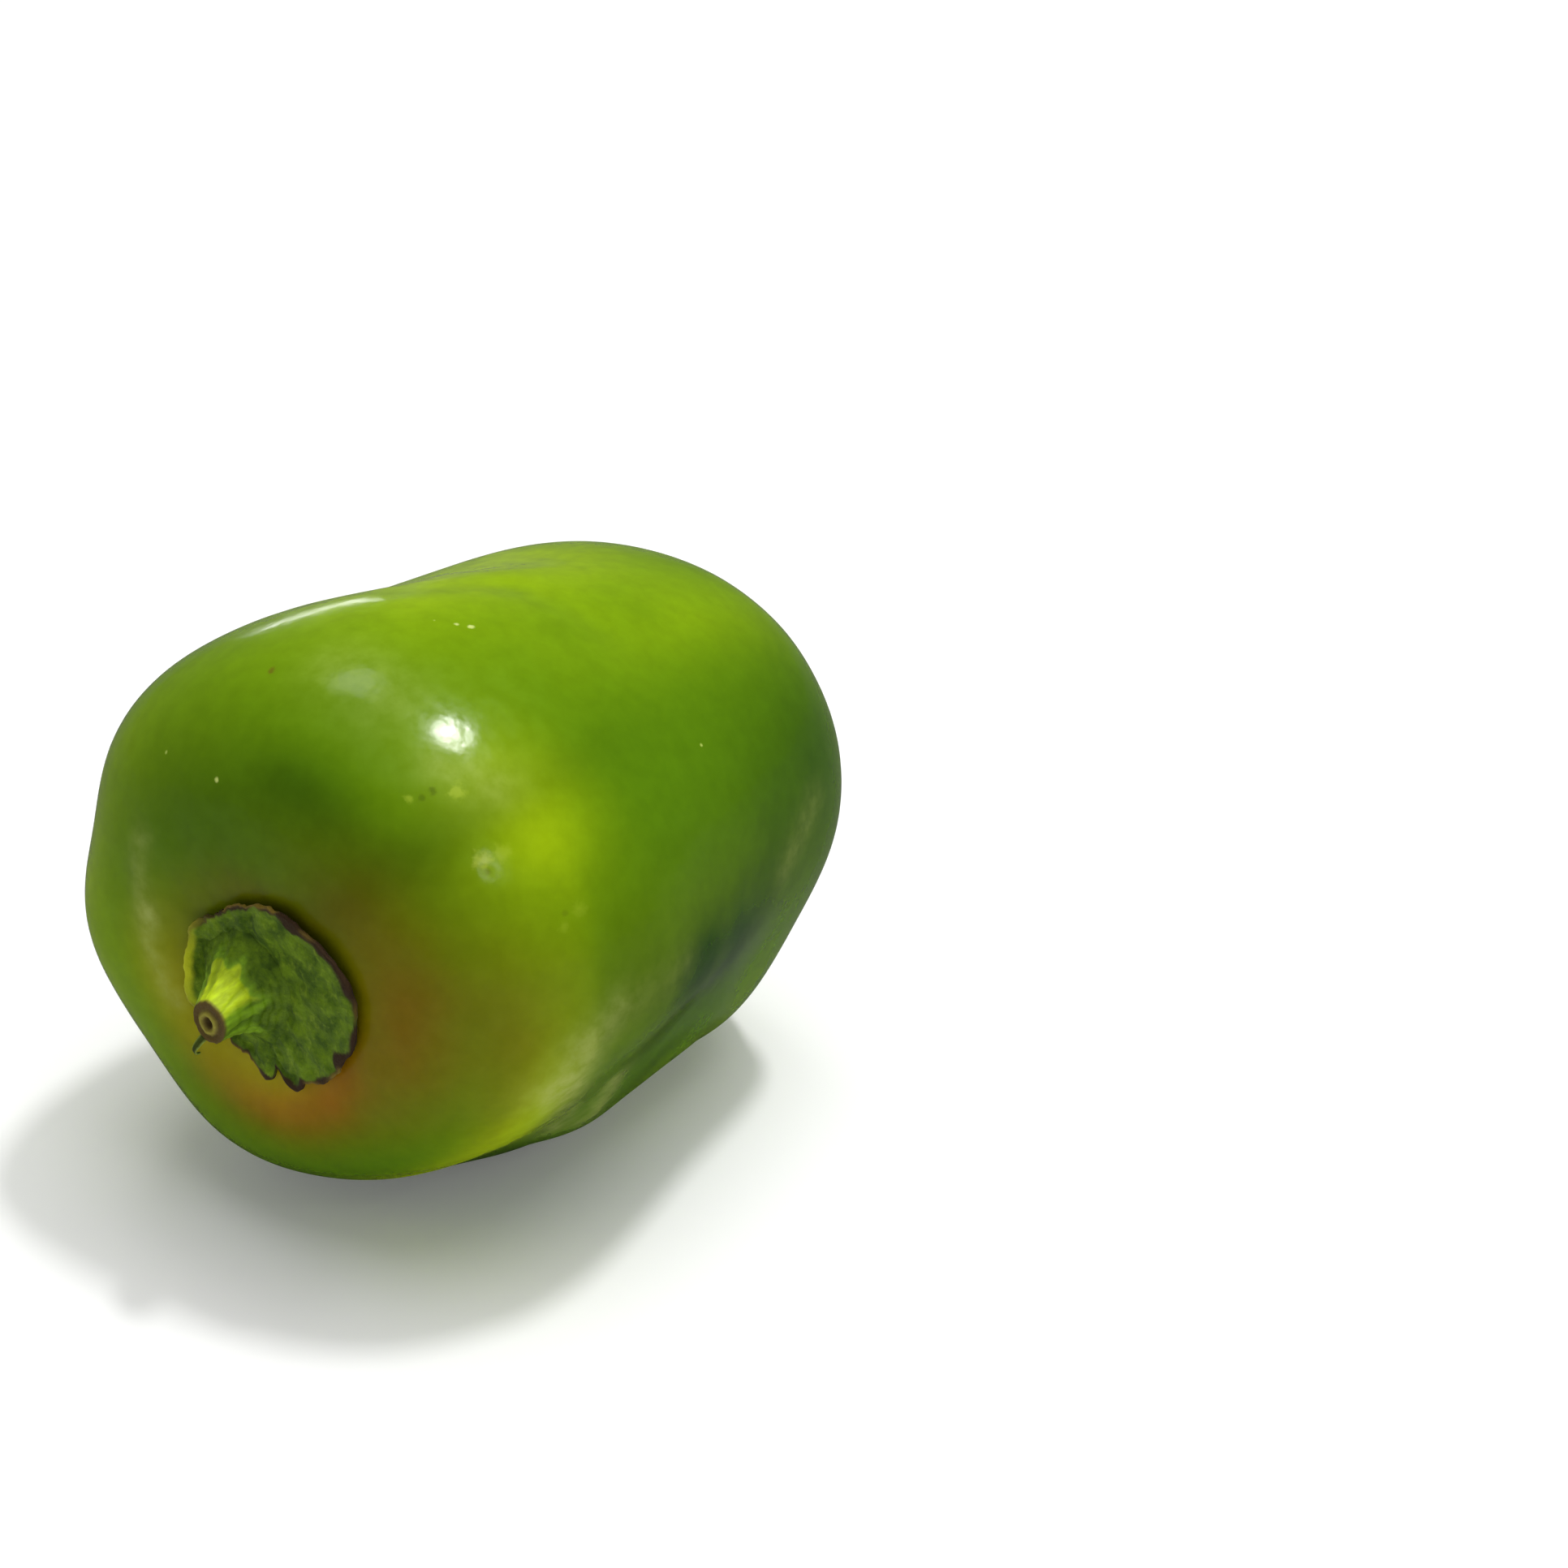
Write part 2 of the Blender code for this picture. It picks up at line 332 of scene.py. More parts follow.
skin = {
    "base": "#557e03",
    "mottleSize": 2.4,      # mm, soft clouding of the flesh under the skin
    "frayedSize": 1.1,      # mm, ragged edges of the small marks
    "cloudSize": 14.0,      # mm, larger drift of colour
    "peelSize": 1.5,        # mm, fine orange-peel of the wax
    "rippleSize": 3.6,      # mm, slow waver of the gloss
    "roughness": 0.165,
    "rippleDepth": 0.055,   # mm
    "peelDepth": 0.02,      # mm
    # specks, pits, and pale painted glints beside the pits: lean, turn, radius in mm, colour, strength
    "marks": (
        (68.6, 7.2, 0.22, "#bfd25a", 0.6),
        (70.4, 10.4, 0.34, "#cfdc7a", 0.85),
        (71.8, 12.4, 0.40, "#d2de80", 0.85),
        (31.0, -8.8, 0.32, "#cfdc7a", 0.85),
        (34.7, -27.9, 0.28, "#c9d96a", 0.8),
        (96, 52, 0.25, "#c9d96a", 0.6),
        (110, -60, 0.35, "#c9d96a", 0.8),
        (75, -100, 0.30, "#c9d96a", 0.8),
        # painted highlights: pale glints beside the pits, where they catch the lamps
        (49.2, 38.9, 1.2, "#b9cc3c", 0.36),
        (43.7, 34.6, 0.6, "#b9cc3c", 0.30),
        (47.3, 52.0, 1.3, "#c6cf50", 0.34),
        (50.1, 52.6, 1.2, "#b9cc3c", 0.24),
        (57.0, 66.8, 1.0, "#b9cc3c", 0.16),
        (54.1, 68.8, 0.8, "#b9cc3c", 0.14),
        (46.7, 36.5, 0.55, "#3f4d08", 0.50),
        (45.1, 36.3, 0.45, "#3f4d08", 0.38),
        (47.2, 54.3, 0.50, "#5c5c0c", 0.42),
        (54.8, 66.8, 0.45, "#55600c", 0.26),
        (47.5, -7.5, 0.60, "#6a4a14", 0.60),
        (118, -70, 0.70, "#5c5c14", 0.50),
        (180, 0, 3.0, "#7d7a26", 0.70),
        (180, 0, 1.8, "#5a4318", 0.85),
    ),
    # painted sheen: pale streaks along the folds and lips where they catch the light: lean and turn of both
    # ends, width in degrees, strength
    "paintedSheenColour": "#b9bf6c",
    "paintedSheen": (
        ((62, 132), (53, 103), 4.5, 0.34),    # right hollow's near side
        ((53, 103), (55, 93), 3.6, 0.26),
        ((55, 93), (60, 87), 3.4, 0.16),      # front lobe's lower edge
        ((60, 87), (76, 86), 3.6, 0.08),
        ((71, 132), (68, 113), 3.4, 0.34),    # across the right hollow
        ((26, -48), (21, -76), 2.0, 0.18),    # left side of the basin
        ((21, -76), (19, -118), 1.8, 0.24),
        ((115, 84), (124, 75), 4.0, 0.12),    # right end
        ((52, 5), (52, 16), 6.0, 0.11),       # above the calyx
        ((50, 33), (54, 41), 3.5, 0.14),      # over the front lobe's shoulder
    ),
    # colours in the flesh, some with painted light and shade in them, one attribute each: colour, then
    # patches of
    # lean, turn, spread along and round, strength
    "tints": {
        "spring": ("#a9c904", (
            (95, -15, 40, 30, 0.9),      # back lobe, along the top
            (45, -95, 15, 30, 1.0),      # left shoulder
            (120, 30, 40, 10, 0.2),      # front lobe, tip
            (100, -95, 30, 40, 0.5),     # back lobe, behind
            (110, 175, 30, 40, 0.6),     # underneath
        )),
        # lime yellow-green, partly painted light on the lit shoulder and edge of the front lobe
        "limeAndLit": ("#b9d506", (
            (55, 50, 10, 15, 0.6),       # painted light on the front lobe's shoulder
            (50, 115, 5, 20, 1.0),       # painted light above the right hollow
            (75, 90, 45, 15, 0.4),       # painted light along the front lobe's edge
            (45, 150, 5, 20, 1.0),       # lower lobe's shoulder
            (60, -120, 20, 20, 0.5),     # left side, low
            (150, 30, 10, 180, 0.3),     # round the blossom end
        )),
        # dark green with painted shade in it: the shaded face round the calyx, the hollows, grooves and
        # basin, and the right flank and right end
        "darkGreenAndShade": ("#264902", (
            (35, 20, 5, 10, 0.6),        # painted shade over the calyx
            (40, 45, 35, 5, 0.4),        # painted shade between shoulder and calyx
            (125, 65, 20, 20, 0.6),      # painted shade on the front lobe's right end
            (85, 90, 40, 20, 0.8),       # painted shade on the right flank
            (25, -20, 20, 25, 0.4),      # painted shade left of the calyx
            (95, 105, 25, 25, 0.3),      # painted shade in the right hollow
            (95, -140, 30, 20, 0.5),     # painted shade in the left groove
            (165, 0, 10, 180, 0.2),      # painted shade in the blossom basin
        )),
        "rust": ("#814f04", (
            (30, 80, 10, 20, 0.7),       # right of the calyx
            (45, 95, 5, 20, 0.3),        # further right
            (15, 155, 10, 25, 1.0),      # under the calyx
            (15, 10, 5, 50, 0.2),        # over the calyx
        )),
        "ember": ("#b8640a", (
            (20, 150, 5, 25, 0.4),       # under the calyx
        )),
        "amber": ("#b4b808", (
            (15, 170, 5, 20, 0.6),       # against the calyx, below
            (20, -105, 5, 15, 0.4),      # against the calyx, left
            (175, 60, 10, 180, 0.2),     # blossom end
        )),
    },
    # the front lobe's shoulder is an edge, so colours change fast across it, where the painted light on its
    # face meets the painted shade beyond: all in degrees
    "edge": {"lean": 58, "turn": 78, "shift": 4.5, "sharpness": 1.6, "spreadAlong": 9, "spreadRound": 20},
}


def patchStrength(patches, lean, turn):
    edge = skin["edge"]
    beyond = lean - edge["lean"]
    near = bell(turnGap(turn, edge["turn"]), edge["spreadRound"]) * bell(beyond, edge["spreadAlong"])
    lean += edge["shift"] * math.tanh(beyond / edge["sharpness"]) * near
    across = math.sin(math.radians(lean))
    total = 0.0
    for atLean, atTurn, spreadAlong, spreadRound, strength in patches:
        away = turnGap(turn, atTurn) * across
        total += strength * bell(lean - atLean, spreadAlong) * bell(away, spreadRound)
    return min(max(total, 0.0), 1.0)


def pepperSkin():
    # Capsicum skin: a waxy cuticle over wet flesh. Small sharp highlights that break up at their edges,
    # deep colour that drifts from green to yellow and rust, with painted light, shade and sheen in it, and a
    # slight glow.
    made, tree = newMaterial("waxyCapsicumSkin")
    coords = objectCoords(tree)
    drift = addNoise(tree, coords, skin["cloudSize"], 3.0, 0.55).outputs["Fac"]
    mottle = addNoise(tree, coords, skin["mottleSize"], 4.0, 0.6).outputs["Fac"]
    colour = linear(skin["base"])
    for name, (tint, patches) in skin["tints"].items():
        mask = attribute(tree, name)
        uneven = addRange(tree, drift, 0.3, 0.7, 0.8, 1.15)
        mask = addNode(tree, "Math", {"operation": "MULTIPLY", "use_clamp": True}, {
            0: mask, 1: uneven}).outputs[0]
        colour = addMix(tree, mask, colour, linear(tint))
    # painted sheen: pale streaks along the folds, broken up by the mottle
    paintedSheen = attribute(tree, "paintedSheen")
    patchy = addRange(tree, mottle, 0.3, 0.7, 0.45, 1.4)
    paintedSheen = addNode(tree, "Math", {"operation": "MULTIPLY", "use_clamp": True}, {
        0: paintedSheen, 1: patchy}).outputs[0]
    colour = addMix(tree, paintedSheen, colour, linear(skin["paintedSheenColour"]))
    value = addRange(tree, mottle, 0.3, 0.7, 0.93, 1.07)
    colour = addNode(tree, "HueSaturation", {}, {
        "Value": value, "Color": colour}).outputs["Color"]
    frayed = addNoise(tree, coords, skin["frayedSize"], 3.0, 0.6).outputs["Fac"]
    for lean, turn, radius, tone, strength in skin["marks"]:
        markPlace = place @ podPoint(lean, turn)
        away = addNode(tree, "VectorMath", {"operation": "DISTANCE"}, {0: coords, 1: markPlace})
        ragged = addNode(tree, "Math", {"operation": "MULTIPLY_ADD"}, {
            0: frayed, 1: 2.4 * radius * mm, 2: away.outputs["Value"]})
        mask = addNode(tree, "MapRange", {"interpolation_type": "SMOOTHSTEP"}, {
            "Value": ragged.outputs[0], "From Min": radius * 1.4 * mm, "From Max": radius * 2.4 * mm,
            "To Min": strength, "To Max": 0.0})
        colour = addMix(tree, mask.outputs["Result"], colour, linear(tone))
    peel = addNoise(tree, coords, skin["peelSize"], 2.0, 0.5).outputs["Fac"]
    ripple = addNoise(tree, coords, skin["rippleSize"], 2.0, 0.5).outputs["Fac"]
    bump = addBump(tree, ripple, skin["rippleDepth"], 1.0)
    bump = addBump(tree, peel, skin["peelDepth"], 1.0, bump)
    roughness = addRange(tree, mottle, 0.3, 0.7, skin["roughness"] - 0.04, skin["roughness"] + 0.05)
    shader = addNode(tree, "BsdfPrincipled", {}, {
        "Base Color": colour, "Roughness": roughness, "Normal": bump,
        "IOR": 1.45, "Specular IOR Level": 0.3, "Subsurface Weight": 0.12,
        "Subsurface Radius": (1.0, 1.0, 0.25), "Subsurface Scale": 1.5 * mm})
    addNode(tree, "OutputMaterial", {}, {"Surface": shader.outputs["BSDF"]})
    return made


def buildPod():
    shape = evenSphere(pod["cuts"])
    layers = {name: shape.verts.layers.float.new(name) for name in skin["tints"]}
    paintedSheen = shape.verts.layers.float.new("paintedSheen")
    up = (place.inverted().to_3x3() @ Vector((0, 0, 1))).normalized()
    floorLevel = (place.inverted() @ Vector()).dot(up)
    for vert in shape.verts:
        direction = vert.co.copy()
        lean, turn = leanAndTurn(direction)
        for name, layer in layers.items():
            vert[layer] = patchStrength(skin["tints"][name][1], lean, turn)
        # how strongly the painted sheen lies here
        vert[paintedSheen] = alongFolds(skin["paintedSheen"], lean, turn)
        spot = direction * (podRadius(lean, turn) + fineRelief(lean, turn, direction))
        above = spot.dot(up) - floorLevel
        pressed = 0.5 * (above + math.hypot(above, pod["restSoftness"]))
        vert.co = spot + up * (pressed - above)
    return finishPiece("podSkin", shape, pepperSkin(), "pod")


calyx = {
    "radius": 12.2,
    "offset": (80, 3.8, 1.6),      # turn of the longer side, reach and stretch, mm
    "teeth": (                     # turn, spread in degrees, height in mm
        (-118, 12, 0.9), (-55, 12, 0.5), (20, 14, 0.4), (66, 12, 0.6), (100, 7, -0.9),
        (124, 8, 0.8), (143, 7, 1.6), (156, 5, -2.0), (168, 7, 1.1)),
    "segments": 300,
    "rings": 36,
    "crowding": 0.35,              # how much closer the rings stand at the rim
    "thickness": (1.9, 0.9),       # middle, rim
    "rimLift": 0.5,
    "raggedReach": 12,             # mm, radius of the ring on which the rim's noise is read
    "seatRadius": 5.6,
    "gap": 0.3,
    # where the rim is cut back or reaches further than the CAD rim: turn, spread, mm
    "trims": ((0, 38, -0.8), (82, 24, 0.9), (-92, 26, -0.5), (132, 20, -1.1), (158, 7, 0.9)),
    "lipAt": (-92, 34),            # turn and spread of the fleshy lip, where nothing is frayed
    "lipGroove": (-85, 30, 0.6),   # turn, spread and depth of the hollow inside it
    "rimCurl": (-95, 32, 0.9),     # turn, spread and height of the curl beside it
    "ribs": 13,
    "green": "#6a880c",
    "dark": "#3e5a05",
    "fleck": "#93ab2c",
    "dryRim": "#3b2917",
    "tanEdge": "#857026",
    "lip": "#c0c61e",
    "blackTips": ((104, 5), (124, 6), (137, 4), (147, 5), (168, 5), (-52, 8), (38, 6)),  # turn, spread
}


def calyxReach(turn):
    atTurn, reach, stretch = calyx["offset"]
    swing = math.radians(turnGap(turn, atTurn))
    total = calyx["radius"] + reach * math.cos(swing) + stretch * math.cos(2 * swing)
    for toothTurn, spread, height in calyx["teeth"]:
        total += height * bell(turnGap(turn, toothTurn), spread)
    return total


seatHeight = podRadius(0, 0) + calyx["gap"] + calyx["thickness"][0]


def bellRound(turn, middle, spread):
    return bell(turnGap(turn, middle), spread)


def calyxSpot(share, turn, onTop):
    ragged = heading(90, turn) * calyx["raggedReach"]
    onLip = bellRound(turn, *calyx["lipAt"])
    fray = (0.45 * cloud(ragged, 1.7, 2.2) + 0.3 * cloud(ragged, 0.7, 4.4)) * (1 - 0.7 * onLip)
    for trimTurn, spread, length in calyx["trims"]:
        fray += length * bell(turnGap(turn, trimTurn), spread)
    reach = share * (calyxReach(turn) + fray * ease(0.5, 1.0, share))
    lean = math.degrees(math.atan2(reach, seatHeight))
    skinSpot = podPoint(lean, turn)
    middle, rim = calyx["thickness"]
    height = skinSpot.z + calyx["gap"] + calyx["rimLift"] * share**3
    curlTurn, curlSpread, curlHeight = calyx["rimCurl"]
    curl = curlHeight * bellRound(turn, curlTurn, curlSpread) + 0.35 * cloud(ragged, 3.0, 6.1) + 0.2
    height += curl * ease(0.84, 1.0, share)
    if not onTop:
        return Vector((skinSpot.x, skinSpot.y, height))
    wear = 0.5 + 0.5 * (1 - ease(0.88, 1.0, share))
    height += (middle + (rim - middle) * share) * wear
    grooveTurn, grooveSpread, grooveDepth = calyx["lipGroove"]
    groove = grooveDepth * bell(share - 0.78, 0.12) * bellRound(turn, grooveTurn, grooveSpread)
    height -= 0.35 * bell(share - 0.87, 0.06) + groove
    ribbing = math.cos(math.radians(turn * calyx["ribs"]) + 3 * cloud(ragged, 7.0, 1.3))
    height += 0.16 * ribbing * ease(0.35, 0.6, share) * (1 - ease(0.85, 1.0, share))
    spot = Vector((skinSpot.x, skinSpot.y, height))
    height += 0.35 * cloud(spot, 2.4, 9.9) + 0.16 * cloud(spot, 0.9, 7.7)
    seat = ease(calyx["seatRadius"] - 0.5, calyx["seatRadius"] + 2.5, reach)
    return Vector((skinSpot.x, skinSpot.y, seatHeight + (height - seatHeight) * seat))


def calyxCoat():
    # Calyx: a thick leafy cap, dull and velvety, dried to a thin corky rim.
    made, tree = newMaterial("velvetyCalyx")
    coords = objectCoords(tree)
    blotch = addNoise(tree, coords, 2.6, 5.0, 0.65).outputs["Fac"]
    fleck = addNoise(tree, coords, 0.9, 3.0, 0.6).outputs["Fac"]
    mask = addNode(tree, "MapRange", {}, {
        "Value": blotch, "From Min": 0.38, "From Max": 0.62})
    colour = addMix(tree, mask.outputs["Result"], linear(calyx["dark"]), linear(calyx["green"]))
    mask = addNode(tree, "MapRange", {}, {
        "Value": fleck, "From Min": 0.55, "From Max": 0.75, "To Max": 0.5})
    colour = addMix(tree, mask.outputs["Result"], colour, linear(calyx["fleck"]))
    for name in ("dryRim", "tanEdge", "lip"):
        mask = attribute(tree, name)
        colour = addMix(tree, mask, colour, linear(calyx[name]))
    bump = addBump(tree, fleck, 0.25, 0.8)
    shader = addNode(tree, "BsdfPrincipled", {}, {
        "Base Color": colour, "Roughness": 0.7, "Normal": bump,
        "IOR": 1.45, "Specular IOR Level": 0.2, "Sheen Weight": 0.03, "Sheen Roughness": 0.5})
    addNode(tree, "OutputMaterial", {}, {"Surface": shader.outputs["BSDF"]})
    return made


def rimTones(share, turn):
    # how dry, how tan and how fleshy the calyx is near its rim
    ragged = heading(90, turn) * calyx["raggedReach"]
    width = 0.028 + 0.05 * cloud(ragged, 2.2, 12.5)
    for tipTurn, spread in calyx["blackTips"]:
        width += 0.07 * bell(turnGap(turn, tipTurn), spread)
    onLip = bellRound(turn, *calyx["lipAt"])
    width *= 1 - onLip
    dry = ease(1 - width - 0.02, 1 - width + 0.01, share)
    tan = ease(0.975, 0.99, share) * ease(-0.1, 0.2, cloud(ragged, 3.2, 15.1)) * (1 - onLip)
    return {"dryRim": dry, "tanEdge": tan * 0.9, "lip": onLip * ease(0.9, 0.95, share)}


def buildCalyx():
    shape = bmesh.new()
    bmesh.ops.create_circle(shape, cap_ends=True, cap_tris=True, segments=calyx["segments"], radius=1)
    for ring in range(1, calyx["rings"]):
        rim = [line for line in shape.edges if line.is_boundary]
        grown = bmesh.ops.extrude_edge_only(shape, edges=rim)["geom"]
        corners = [item for item in grown if isinstance(item, bmesh.types.BMVert)]
        bmesh.ops.scale(shape, vec=((ring + 1) / ring,) * 3, verts=corners)
    layers = {name: shape.verts.layers.float.new(name) for name in ("dryRim", "tanEdge", "lip")}
    underside = shape.verts[:]
    top = bmesh.ops.extrude_face_region(shape, geom=shape.faces[:])["geom"]
    topVerts = {item for item in top if isinstance(item, bmesh.types.BMVert)}
    for vert in underside + list(topVerts):
        share = vert.co.length / calyx["rings"]
        share *= 1 + calyx["crowding"] * (1 - share)
        turn = math.degrees(math.atan2(vert.co.x, vert.co.y))
        for name, tone in rimTones(share, turn).items():
            vert[layers[name]] = tone
        vert.co = calyxSpot(share, turn, vert in topVerts)
    return finishPiece("calyxCap", shape, calyxCoat(), "calyx")


stem = {
    "profile": (
        (0.0, 8.4), (0.35, 6.9), (0.8, 5.9), (1.4, 5.2), (2.2, 4.6), (3.6, 3.8), (5.4, 3.15), (6.8, 2.8),
        (7.8, 2.55)),
    "bend": (1.8, -0.8),    # how far the cut end leans right and up, mm
    "segments": 160,
    "rings": 56,
    "ribs": 5,
    "ribDepth": 0.07,
    "sink": 0.6,            # how far the flared foot runs into the calyx, mm
    # the cut end: share of the radius, height over the cut, mm
    "cut": ((0.97, 0.08), (0.91, 0.14), (0.84, 0.12), (0.76, 0.02), (0.68, -0.10), (0.61, -0.12),
            (0.55, -0.02), (0.49, 0.10), (0.43, 0.14), (0.37, 0.10), (0.30, -0.10), (0.22, -0.45),
            (0.13, -0.75), (0.05, -0.85)),
    "ringShift": (-0.30, -0.25),   # the pale ring lies off the middle, mm
    "litFacet": (8, 54, 68),          # the pale facet, painted light on the stalk's upper side: turn, half width, and where it has faded out
    "layers": ("foot", "pale", "furrow", "cork", "ring", "pith"),   # what colours the stalk
    "green": "#7ca41a",
    # painted light: the pale colour of the stalk's lit upper side
    "pale": "#bad21c",
    "dark": "#4c6a10",
    "cork": "#614f24",
    "ring": "#a39c38",
    "pith": "#4f3c14",
}


def stemCoat():
    # Fruit stalk: a ribbed green rind, still juicy and a little glossy, with a corky cut.
    made, tree = newMaterial("ribbedStalkRind")
    coords = objectCoords(tree)
    masks = {name: attribute(tree, name) for name in stem["layers"]}
    streaks = addNode(tree, "Mapping", {}, {"Vector": coords, "Scale": (1.0, 0.16, 1.0)})
    fibre = addNoise(tree, streaks.outputs["Vector"], 0.7, 3.0, 0.6).outputs["Fac"]
    grain = addNoise(tree, coords, 0.6, 4.0, 0.6).outputs["Fac"]
    blotch = addNoise(tree, coords, 2.6, 5.0, 0.65).outputs["Fac"]
    # painted light: the pale lit upper side of the stalk
    colour = addMix(tree, masks["pale"], linear(stem["green"]), linear(stem["pale"]))
    colour = addMix(tree, masks["furrow"], colour, linear(stem["dark"]))
    value = addRange(tree, fibre, 0.3, 0.7, 0.75, 1.2)
    colour = addNode(tree, "HueSaturation", {}, {
        "Value": value, "Color": colour}).outputs["Color"]
    patch = addNode(tree, "MapRange", {}, {
        "Value": blotch, "From Min": 0.38, "From Max": 0.62})
    leafy = addMix(tree, patch.outputs["Result"], linear(calyx["dark"]), linear(calyx["green"]))
    colour = addMix(tree, masks["foot"], colour, leafy)
    for name in ("cork", "ring", "pith"):
        colour = addMix(tree, masks[name], colour, linear(stem[name]))
    bump = addBump(tree, grain, 0.12, 0.7)
    bump = addBump(tree, fibre, 0.2, 0.8, bump)
    shader = addNode(tree, "BsdfPrincipled", {}, {
        "Base Color": colour, "Roughness": 0.55, "Normal": bump,
        "IOR": 1.45, "Specular IOR Level": 0.25})
    addNode(tree, "OutputMaterial", {}, {"Surface": shader.outputs["BSDF"]})
    return made


def stemAxis(height):
    # the stalk curves: how far its middle has moved at a height over its seat
    share = max(height, 0.0) / stem["profile"][-1][0]
    return Vector((stem["bend"][0], stem["bend"][1], 0)) * share**1.4


def stemSpot(height, radius, turn):
    around = Vector((math.sin(turn) * 3, math.cos(turn) * 3, 0))
    fine = cloud(around + Vector((0, 0, height * 0.12)), 0.5, 1.7)
    lumps = cloud(around + Vector((0, 0, height)), 2.0, 3.9)
    ribbing = 0.65 * math.cos(stem["ribs"] * turn) + 0.35 * math.cos(11 * turn + 1.3)
    ribbing *= 1 - 0.7 * ease(4.5, 7.6, height)
    out = radius * (1 + stem["ribDepth"] * ribbing + 0.035 * fine + 0.05 * lumps)
    spot = Vector((out * math.sin(turn), out * math.cos(turn), height)) + stemAxis(height)
    return spot, ribbing + fine


def stalkTones(height, turn, rib):
    # where the rind is pale with painted light on its upper side, furrowed, leafy at its foot and corky at
    # its cut
    degrees = math.degrees(turn)
    around = Vector((math.sin(turn) * 3, math.cos(turn) * 3, 0))
    jag = cloud(around, 0.9, 21.3)
    facetTurn, facetEdge, facetEnd = stem["litFacet"]
    waver = 12 * cloud(around + Vector((0, 0, height)), 1.6, 8.8)
    # painted light: how far the pale lit upper side reaches round the stalk
    litFacet = ease(facetEnd, facetEdge, abs(turnGap(degrees, facetTurn) + waver))
    top = stem["profile"][-1][0]
    return {
        "pale": litFacet * ease(2.7, 3.2, height + 1.5 * jag),
        "furrow": 0.75 * ease(0.0, -0.75, rib) * (1 - 0.5 * litFacet),
        "foot": 1 - ease(1.6, 2.9, height + 2.0 * jag),
        "cork": 0.85 * ease(top - 0.45, top - 0.05, height),
    }


def buildStem():
    shape = bmesh.new()
    bmesh.ops.create_circle(shape, cap_ends=True, segments=stem["segments"], radius=1)
    layers = {name: shape.verts.layers.float.new(name) for name in stem["layers"]}
    foot = seatHeight + calyx["gap"]
    top = stem["profile"][-1][0]
    rings = [(top * (step / stem["rings"]) ** 1.3, None, 0.0) for step in range(stem["rings"] + 1)]
    rings += [(top, share, lift) for share, lift in stem["cut"]]
    rim, ring = shape.edges[:], shape.verts[:]
    edge = stemAxis(top)
    for count, (height, share, lift) in enumerate(rings):
        last = stemAxis(rings[count - 1][0] if count else 0)
        if count:
            grown = bmesh.ops.extrude_edge_only(shape, edges=rim)["geom"]
            rim = [item for item in grown if isinstance(item, bmesh.types.BMEdge) and item.is_boundary]
            ring = [item for item in grown if isinstance(item, bmesh.types.BMVert)]
        for vert in ring:
            turn = math.atan2(vert.co.x - last.x, vert.co.y - last.y)
            spot, rib = stemSpot(height, fromTable(stem["profile"], height), turn)
            if share is None:
                tones = stalkTones(height, turn, rib)
            else:
                middle = edge + Vector((*stem["ringShift"], 0)) * ease(1.0, 0.6, share)
                rough = 0.12 * cloud(spot * share, 0.6, 5.5)
                spot = middle + Vector((spot.x - edge.x, spot.y - edge.y, 0)) * share
                spot.z = height + lift + rough
                pale = 0.9 * bell(share - 0.45, 0.13)
                tones = {"cork": 1.0, "ring": pale, "pith": 1 - ease(0.18, 0.30, share)}
            for name, tone in tones.items():
                vert[layers[name]] = tone
            spot.z += foot - stem["sink"] * (1 - ease(0.0, 1.2, height))
            vert.co = spot
    bmesh.ops.holes_fill(shape, edges=rim)
    return finishPiece("stemStub", shape, stemCoat(), "stem")


# the dry sliver that curls from the cut's lower edge
sliver = {
    "turn": 205,
    "length": 4.6,
    "width": 1.1,
    "thickness": 0.25,
    "steps": 26,
    "hook": ((0.0, 35), (0.35, 60), (0.7, 125), (1.0, 170)),   # share of the length, degrees from up
    "inner": "#3c4a10",
    "edge": "#8a9a3c",
}


def sliverCoat():
    # Dried rind: papery, dark olive inside with a paler edge.
    made, tree = newMaterial("dryRindSliver")
    coords = objectCoords(tree)
    edge = attribute(tree, "edge")
    grain = addNoise(tree, coords, 0.4, 3.0, 0.6).outputs["Fac"]
    colour = addMix(tree, edge, linear(sliver["inner"]), linear(sliver["edge"]))
    value = addRange(tree, grain, 0.3, 0.7, 0.7, 1.25)
    colour = addNode(tree, "HueSaturation", {}, {
        "Value": value, "Color": colour}).outputs["Color"]
    shader = addNode(tree, "BsdfPrincipled", {}, {
        "Base Color": colour, "Roughness": 0.7, "IOR": 1.45, "Specular IOR Level": 0.25})
    addNode(tree, "OutputMaterial", {}, {"Surface": shader.outputs["BSDF"]})
    return made


